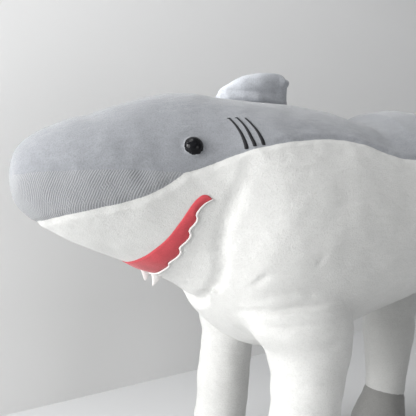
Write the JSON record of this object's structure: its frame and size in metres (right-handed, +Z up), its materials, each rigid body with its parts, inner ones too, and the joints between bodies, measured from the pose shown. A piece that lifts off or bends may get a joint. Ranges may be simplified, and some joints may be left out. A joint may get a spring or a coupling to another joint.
{
  "type": "plush shark",
  "caption": "Large standing plush shark with a long rounded snout, a rose felt mouth, black button eyes and soft stuffed legs in grey boots.",
  "frame": {"origin": "on the floor, under the middle of the body's length and width", "axes": "+Z up, +Y from the snout towards the tail, +X towards the shark's left side"},
  "size_m": [0.3268, 0.9, 0.598],
  "materials": {
    "grey_plush": "short blue-grey plush pile",
    "ribbed_grey_plush": "ribbed grey plush with a diagonal grain",
    "white_plush": "soft off-white plush pile",
    "rose_felt": "rose red felt",
    "white_felt": "white felt",
    "black_thread": "black satin embroidery thread",
    "black_button": "polished black safety eye",
    "clear_washer": "moulded star washer",
    "sole_cloth": "flat dark grey sole cloth",
    "grey_board": "moulded grey plastic",
    "steel_tube": "bright steel tube",
    "stuffing": "white polyester fibrefill"
  },
  "bodies": {
    "body": {"back_cover": "grey_plush", "snout_cover": "ribbed_grey_plush", "jaw_cover": "white_plush", "flank_cover_left": "white_plush", "flank_cover_right": "white_plush", "belly_cover": "white_plush", "body_filling": "stuffing", "mouth_lining": "rose_felt", "lip_edge": "white_felt", "chin_teeth": "white_felt", "gill_stitches_left": "black_thread", "gill_stitches_right": "black_thread", "eye_left": "black_button", "eye_right": "black_button", "eye_washer_left": "clear_washer", "eye_washer_right": "clear_washer", "leg_cover_front_left": "white_plush", "leg_cover_front_right": "white_plush", "leg_cover_rear_left": "white_plush", "leg_cover_rear_right": "white_plush", "leg_filling_front_left": "stuffing", "leg_filling_front_right": "stuffing", "leg_filling_rear_left": "stuffing", "leg_filling_rear_right": "stuffing", "boot_cover_front_left": "grey_plush", "boot_cover_front_right": "grey_plush", "boot_cover_rear_left": "grey_plush", "boot_cover_rear_right": "grey_plush", "sole_front_left": "sole_cloth", "sole_front_right": "sole_cloth", "sole_rear_left": "sole_cloth", "sole_rear_right": "sole_cloth", "foot_plate_front_left": "grey_board", "foot_plate_front_right": "grey_board", "foot_plate_rear_left": "grey_board", "foot_plate_rear_right": "grey_board", "spine_tube": "steel_tube", "cross_rail_front": "steel_tube", "cross_rail_rear": "steel_tube", "leg_post_front_left": "steel_tube", "leg_post_front_right": "steel_tube", "leg_post_rear_left": "steel_tube", "leg_post_rear_right": "steel_tube", "tube_clamps": "grey_board"},
    "dorsal_fin": {"dorsal_fin_cover": "grey_plush", "dorsal_fin_filling": "stuffing"},
    "tail_fin": {"tail_fin_cover": "grey_plush", "tail_fin_filling": "stuffing"}
  },
  "joints": [
    {"name": "dorsal_fin_flop", "type": "hinge", "parent": "body", "child": "dorsal_fin", "pos_m": [0, -0.136, 0.562], "axis": [0, 1, 0], "range_deg": [-30, 30], "stiffness_Nm_per_rad": 0.6},
    {"name": "tail_fin_swing", "type": "hinge", "parent": "body", "child": "tail_fin", "pos_m": [0, 0.359, 0.4], "axis": [0, 0, 1], "range_deg": [-30, 30], "stiffness_Nm_per_rad": 2}
  ]
}
